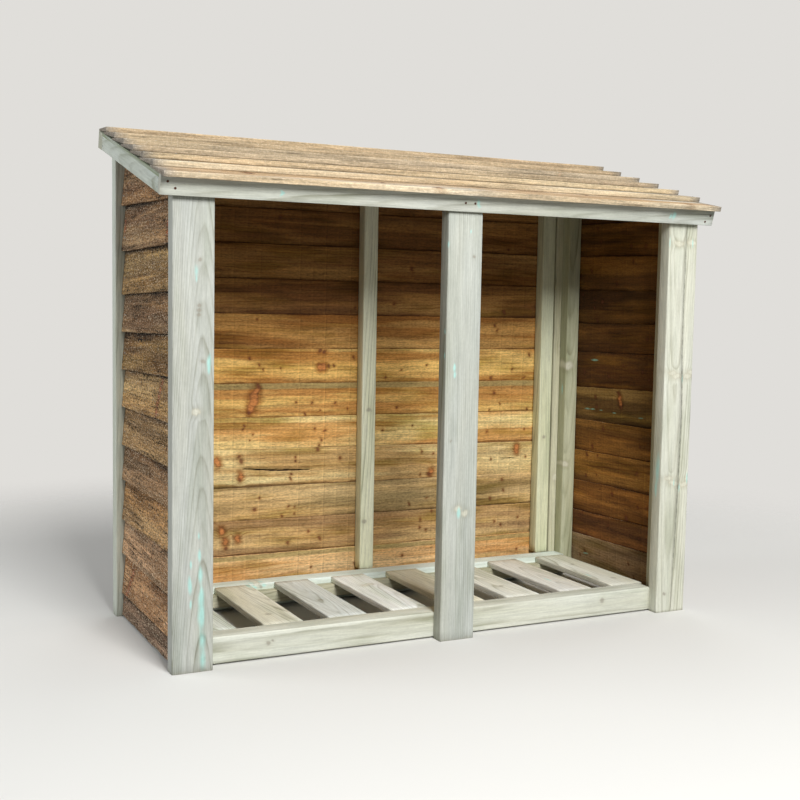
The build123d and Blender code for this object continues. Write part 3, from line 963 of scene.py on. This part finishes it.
# How far out from the studs a wall's salts lie, and the dark knots that chance gives a board with few of
# its own
SALTS_OUT = 5 * MM
CHANCE_KNOTS = 5
wall_meshes = {}
for wall in WALLS:
    label, start, feet = wall.label, wall.start, wall.feet
    wall_meshes[label] = []
    boards = [wall_board(wall, k) for k in range(len(feet))]
    seen_outside = label == "left"
    for kind, places in (("knots", WALL_KNOTS.get(label, [])), ("salts", WALL_SALTS.get(label, []))):
        for a, z, radius in places:
            share = (a - start) / (boards[0].length / MM)
            levels = [f[0] + (f[1] - f[0]) * share for f in feet]
            if seen_outside:
                piece = [board for board, level in zip(boards, levels) if level <= z][-1]
            else:
                piece = [board for board, level in zip(boards, levels) if z < level + BOARD_W][0]
            u, v = piece.place(a, z)
            piece.mark(kind, u, v, SALTS_OUT, radius)
    for k, piece in enumerate(boards):
        for _ in range(0 if len(piece.marks["pins"]) > 2 else CHANCE_KNOTS):
            a = start + piece.draw.uniform(0.04, 0.96) * piece.length / MM
            z = feet[k][0] + piece.draw.uniform(40, 140)
            piece.mark("knots", *piece.place(a, z), 0, piece.draw.uniform(1.8, 4.5))
        if piece.name in WALL_SPLITS:
            line, spans = WALL_SPLITS[piece.name]
            spans = [((a - start) * MM, (b - start) * MM, width) for a, b, width in spans]
            piece.step = 7 * MM
            piece.open_split([piece.place(a, z) for a, z in line], spans, SPLIT_DEPTH, -1)
    for k, centre, reach in (SAP_BANDS if label == "back" else []):
        boards[k].band = (boards[k].place(MIDDLE_X, centre)[1], reach * MM, 0.8)
    for piece in boards:
        ob = build(piece, [sawn_outside, sawn_inside], [wall.node])
        trimmed(ob, UNDERSIDE, ROOF_UP)
        wall_meshes[label].append(ob)


# Roof of lapped boards

# Tints and tones from the eaves up, and knots as x and the way up the slope from the lowest edge, in mm
ROOF_TINTS = [
    ("#d6d3c5", "#b99e7b"), ("#c1bdad", "#a68e6b"), ("#b0a384", "#947751"), ("#79685b", "#634731"),
    ("#9d8f81", "#816c50"), ("#9a8365", "#7f5f38"), ("#a98e66", "#8a653b"),
]
ROOF_KNOTS = [
    (1667, 8, 9), (759, 8, 8), (210, 77, 8), (264, 539, 7), (719, 365, 8), (1180, 190, 7), (420, 270, 6),
    (1450, 450, 7), (960, 560, 6), (600, 60, 5), (1320, 90, 6), (80, 380, 6), (1560, 640, 6),
]
# How much of a roof board shows below the next one, and how far the roof runs past the posts
ROOF_SHOW = 117
ROOF_OVER = 40
roof_meshes = []
first_s = None
for i, (tint, tone) in enumerate(ROOF_TINTS):
    node = "roof_board_" + str(i + 1)
    # The four corners of its solid, up the slope and square to it
    corners = {}
    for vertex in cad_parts[node].data.vertices:
        s, n = vertex.co.dot(RISE), vertex.co.dot(ROOF_UP)
        corners[(round(s, 5), round(n, 5))] = (s, n)
    by_s = sorted(corners.values())
    lower, upper = sorted(by_s[:2], key=lambda c: c[1]), sorted(by_s[-2:], key=lambda c: c[1])
    low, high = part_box(node)
    base = lower[0][1]
    first_s = lower[0][0] if first_s is None else first_s
    origin = RIGHT * low[0] + RISE * lower[0][0] + ROOF_UP * base
    width = upper[0][0] - lower[0][0]
    piece = Timber("roof_lap_" + str(i + 1), origin, RIGHT, ROOF_UP, high[0] - low[0], (0, width),
                   (0, upper[0][1] - base), (lower[1][1] - base, upper[1][1] - base))
    piece.radius, piece.column, piece.step = 1.5 * MM, 12 * MM, 12 * MM
    piece.foot = 0
    piece.tint, piece.tone = tint, tone
    piece.pith = (piece.draw.uniform(30, 100) * MM, -piece.draw.uniform(45, 80) * MM)
    piece.ring = piece.draw.uniform(6, 10) * MM
    show = width
    if i + 1 < len(ROOF_TINTS):
        show = ROOF_SHOW * MM
        piece.covered_above = width - show
    for x, s, radius in ROOF_KNOTS:
        v = first_s + s * MM - lower[0][0]
        if 0 <= v < show:
            piece.mark("knots", (x + ROOF_OVER) * MM, v, 0, radius)

    def roof_shape(moved, grain, name=piece.name, width=width):
        """Gives the board's lower edge its small waves."""
        u = grain[:, 0]
        wave = random.Random(name + "edge")
        share = grain[:, 1] / width
        out = moved.copy()
        out[:, 1] += (waver(u, wave, 1.6 * MM, (0.6, 0.21, 0.09)) + 0.8 * MM) * (1 - share)
        return out

    piece.shape = roof_shape
    roof_meshes.append(build(piece, [roof_sawn], [node]))


# Nails

# Blotches of dulled zinc and rust on a nail head, about 1.5 mm across, as waves a metre
BLOTCHES = 700.0
# A head's rings of points: how far out they lie in its radii, and how far they stand off the timber in mm
HEAD_RINGS = ((1.0, -0.5), (1.0, 0.35), (0.8, 0.65), (0.35, 0.8))
HEAD_SIDES = 10
# Nails are looked for from this far off the timber, in metres
LOOK_FROM = 0.06


def nail_finish(name, clean, dull, metallic, roughness):
    """Wire nails: flat steel heads, mottled where the zinc has dulled or the rust has come through."""
    material, tree = bare_material(name)
    place = add(tree, "NewGeometry", out="Position")
    level = add(tree, "TexNoise", place, at={"Scale": BLOTCHES, "Detail": 2.0})
    share = add(tree, "MapRange", level, 0.4, 0.6, 0.0, 1.0)
    shades = {6: (*linear(clean), 1), 7: (*linear(dull), 1)}
    steel = add(tree, "Mix", at={0: share, **shades}, out=2, data_type="RGBA")
    head = add(tree, "BsdfPrincipled", at={"Base Color": steel, "Metallic": metallic, "Roughness": roughness})
    add(tree, "OutputMaterial", head)
    return material


def nail_heads(name, finish, places, targets, radius):
    """Low domed nail heads standing on the timbers, found by looking along each nail's direction."""
    points, faces = [], []
    for target in targets:
        shift = len(points)
        points += [v.co.copy() for v in target.data.vertices]
        faces += [[i + shift for i in p.vertices] for p in target.data.polygons]
    skin = BVHTree.FromPolygons(points, faces)
    verts, quads, sides = [], [], HEAD_SIDES
    for place, way in places:
        way = Vector(way).normalized()
        hit = skin.ray_cast(place - way * LOOK_FROM, way)[0]
        if hit is None:
            continue
        first = way.orthogonal().normalized()
        second = way.cross(first)
        base = len(verts)
        for out, lift in HEAD_RINGS:
            for i in range(sides):
                angle = 2 * math.pi * i / sides
                side = (first * math.cos(angle) + second * math.sin(angle)) * radius * MM * out
                verts.append(hit + side - way * lift * MM)
        last = len(HEAD_RINGS) - 1
        for ring in range(last):
            for i in range(sides):
                j = (i + 1) % sides
                a, b = base + ring * sides, base + (ring + 1) * sides
                quads.append((a + i, a + j, b + j, b + i))
        quads.append([base + last * sides + i for i in range(sides)])
        quads.append([base + i for i in reversed(range(sides))])
    mesh = bpy.data.meshes.new(name)
    mesh.from_pydata([tuple(v) for v in verts], [], quads)
    mesh.materials.append(finish)
    bm = bmesh.new()
    bm.from_mesh(mesh)
    bmesh.ops.recalc_face_normals(bm, faces=bm.faces)
    bm.to_mesh(mesh)
    bm.free()
    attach(standing(name, mesh), "root")


# Zinc is metal all over, while rust hides all but a little of the steel
galvanised = nail_finish("galvanised nail steel", "#a9aeb0", "#7d8486", 1.0, 0.55)
rusted = nail_finish("rusted nail steel", "#6d4a3a", "#3f2a22", 0.2, 0.85)

# Nail heads' radii in mm, and the nails of the fascia as x and the way up its face
FASCIA_HEAD, BARGE_HEAD, BOARD_HEAD = 3.6, 2.6, 2.4
FASCIA_NAILS = [(-21, 36), (0, 19), (862, 26), (894, 26), (1775, 32), (1758, 12)]
fascia_points = [v.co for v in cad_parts["fascia"].data.vertices]
low_corner = min(fascia_points, key=lambda p: (round(p.dot(RISE), 4), p.dot(ROOF_UP), p.x))
places = [(Vector((spot(x, 0, 0).x, low_corner.y, low_corner.z)) + ROOF_UP * up * MM, RISE)
          for x, up in FASCIA_NAILS]
nail_heads("nails_fascia", rusted, places, [bpy.data.objects["timber_fascia"]], FASCIA_HEAD)

# Two pairs of nails in each barge board, near its ends, this far along it and up it from its middle. They are
# looked for from outside it
BARGE_ALONG, BARGE_UP = (-325, 325), (-12, 12)
for side, x, way in (("left", -60, RIGHT), ("right", 1810, -RIGHT)):
    middle = middle_of("barge_" + side)
    places = [(Vector((spot(x, 0, 0).x, middle.y, middle.z)) + RISE * along * MM + ROOF_UP * up * MM, way)
              for along in BARGE_ALONG for up in BARGE_UP]
    board = bpy.data.objects["timber_barge_" + side]
    nail_heads("nails_barge_" + side, galvanised, places, [board], BARGE_HEAD)

# A nail through each wall board into each post or stud, this far above the board's lower edge, and how far
# along the side walls, the back wall and the roof the nails stand
NAIL_ABOVE = 40
SIDE_NAILS = (67, 620)
BACK_NAILS = (57, 147, MIDDLE_X, 1603, 1693)
ROOF_NAILS = (-30, 64, MIDDLE_X, 1686, 1780)
for wall, x, way in zip(WALLS, (-20, 1770), (RIGHT, -RIGHT)):
    rng = random.Random("nails_" + wall.label)
    places = [(spot(x, y + rng.uniform(-5, 5), max(f[0], BOARD_FOOT) + NAIL_ABOVE + rng.uniform(-5, 5)), way)
              for f in wall.feet for y in SIDE_NAILS]
    places = [p for p in places if p[0].z < UNDERSIDE.z + (p[0].y - UNDERSIDE.y) * PITCH - 10 * MM]
    nail_heads("nails_wall_" + wall.label, galvanised, places, wall_meshes[wall.label], BOARD_HEAD)
BACK_NAILS_TOP = spot(0, 0, 1462).z
rng = random.Random("nails_back")
places = [(spot(x + rng.uniform(-8, 8), 740, max(f[0], BOARD_FOOT) + NAIL_ABOVE + rng.uniform(-5, 5)), -BACK)
          for f in WALLS[2].feet for x in BACK_NAILS]
places = [p for p in places if p[0].z < BACK_NAILS_TOP]
nail_heads("nails_wall_back", galvanised, places, wall_meshes["back"], BOARD_HEAD)

# Each roof board is nailed to the barge boards and rafters, a little above its lower edge
rng = random.Random("nails_roof")
places = []
for ob in roof_meshes:
    corner = min((v.co for v in ob.data.vertices), key=lambda p: p.dot(RISE))
    for x in ROOF_NAILS:
        foot = Vector((spot(x + rng.uniform(-6, 6), 0, 0).x, corner.y, corner.z))
        places.append((foot + RISE * (34 + rng.uniform(-4, 4)) * MM + ROOF_UP * 50 * MM, -ROOF_UP))
nail_heads("nails_roof", galvanised, places, roof_meshes, BOARD_HEAD)


# Stage

# The floor's paper as the store's timbers meet it in reflected light, and as the camera sees it, and the
# plain backdrop. The floor fades into the backdrop between two distances from the store's middle, in metres
PAPER, PAPER_SEEN, BACKDROP = "#b4b2ae", "#dad9d5", "#e0deda"
FLOOR_FADE = (1.5, 3.4)
FLOOR_RADIUS, FLOOR_SIDES = 6, 64
AMBIENT = 0.16


def stage_material(name):
    """Pale studio paper, matt, that takes the shadow near the store and fades to the plain background."""
    material, tree = bare_material(name)
    place = add(tree, "NewGeometry", out="Position")
    away = add(tree, "VectorMath", place, out=1, operation="LENGTH")
    fade = add(tree, "MapRange", away, *FLOOR_FADE, interpolation_type="SMOOTHSTEP")
    seen = add(tree, "LightPath", out="Is Camera Ray")
    tones = {6: (*linear(PAPER), 1), 7: (*linear(PAPER_SEEN), 1)}
    tone = add(tree, "Mix", at={0: seen, **tones}, out=2, data_type="RGBA")
    paper = add(tree, "BsdfPrincipled", at={"Base Color": tone, "Roughness": 0.9, "Specular IOR Level": 0.1})
    add(tree, "OutputMaterial", add(tree, "MixShader", fade, paper, add(tree, "BsdfTransparent")))
    return material


floor_mesh = bpy.data.meshes.new("studio_floor")
angles = [2 * math.pi * i / FLOOR_SIDES for i in range(FLOOR_SIDES)]
rim = [(FLOOR_RADIUS * math.cos(angle), FLOOR_RADIUS * math.sin(angle), 0) for angle in angles]
floor_mesh.from_pydata(rim, [], [list(range(FLOOR_SIDES))])
floor_mesh.materials.append(stage_material("studio paper"))
standing("studio_floor", floor_mesh)

world = bpy.data.worlds.new("studio")
bpy.context.scene.world = world
world.use_nodes = True
sky = world.node_tree
sky.nodes.clear()
ray = add(sky, "LightPath", out="Is Camera Ray")
glossy = add(sky, "LightPath", out="Is Glossy Ray")
seen = add(sky, "Math", ray, glossy, operation="MAXIMUM")
ambient = add(sky, "Background", (1, 1, 1, 1), AMBIENT)
backdrop = add(sky, "Background", (*linear(BACKDROP), 1), 1.0)
add(sky, "OutputWorld", add(sky, "MixShader", seen, ambient, backdrop))


# Soft square lamps: place, the spot they aim at, width, watts and colour. The left one stands for the sky
WHITE, SKY = (1, 1, 1), (0.93, 0.97, 1.0)
LAMPS = {
    "key_softbox": ((-0.55, -4.9, 3.6), (0, 0, 0.6), 1.8, 290, WHITE),
    "high_softbox": ((-0.3, -3.6, 4.9), (0, 0, 0.5), 2.0, 110, WHITE),
    "left_softbox": ((-4.4, 0.9, 2.2), (-0.9, 0, 0.7), 2.4, 75, SKY),
    "right_softbox": ((4.6, 0.6, 2.4), (0.9, 0, 0.7), 2.4, 45, WHITE),
    "rear_softbox": ((2.5, 4.5, 3.2), (0, 0, 0.6), 3.0, 60, WHITE),
}
for name, (place, aim, width, watts, colour) in LAMPS.items():
    lamp = bpy.data.lights.new(name, "AREA")
    lamp.shape = "RECTANGLE"
    lamp.size = lamp.size_y = width
    lamp.energy = watts
    lamp.color = colour
    ob = standing(name, lamp)
    ob.location = place
    ob.rotation_mode = "QUATERNION"
    ob.rotation_quaternion = (Vector(aim) - Vector(place)).to_track_quat("-Z", "Y")

# Camera at the photograph's angle: its place on the store in mm, its turn, tilt and roll in degrees, and
# its focal length in pixels of the photograph
CAMERA_SPOT = (-856.4, -3045.6, 1021.5)
CAMERA_TURN = (26.66, -4.88, 1.03)
FOCAL_PX, PHOTO_PX, SENSOR_MM = 1181.0, 800, 36
camera = bpy.data.cameras.new("camera")
camera.sensor_width = SENSOR_MM
camera.lens = FOCAL_PX / PHOTO_PX * SENSOR_MM
yaw, pitch, roll = (math.radians(a) for a in CAMERA_TURN)
ahead = Vector((math.sin(yaw) * math.cos(pitch), math.cos(yaw) * math.cos(pitch), math.sin(pitch)))
level = Vector((math.cos(yaw), -math.sin(yaw), 0))
over = level.cross(ahead)
side = level * math.cos(roll) + over * math.sin(roll)
top_of_view = over * math.cos(roll) - level * math.sin(roll)
camera_ob = standing("camera", camera)
turn = Matrix((side, top_of_view, -ahead)).transposed()
camera_ob.matrix_world = Matrix.Translation(spot(*CAMERA_SPOT)) @ turn.to_4x4()
camera.clip_start, camera.clip_end = 0.1, 100
bpy.context.scene.camera = camera_ob
bpy.context.scene.view_settings.view_transform = "Standard"

bpy.context.view_layer.update()
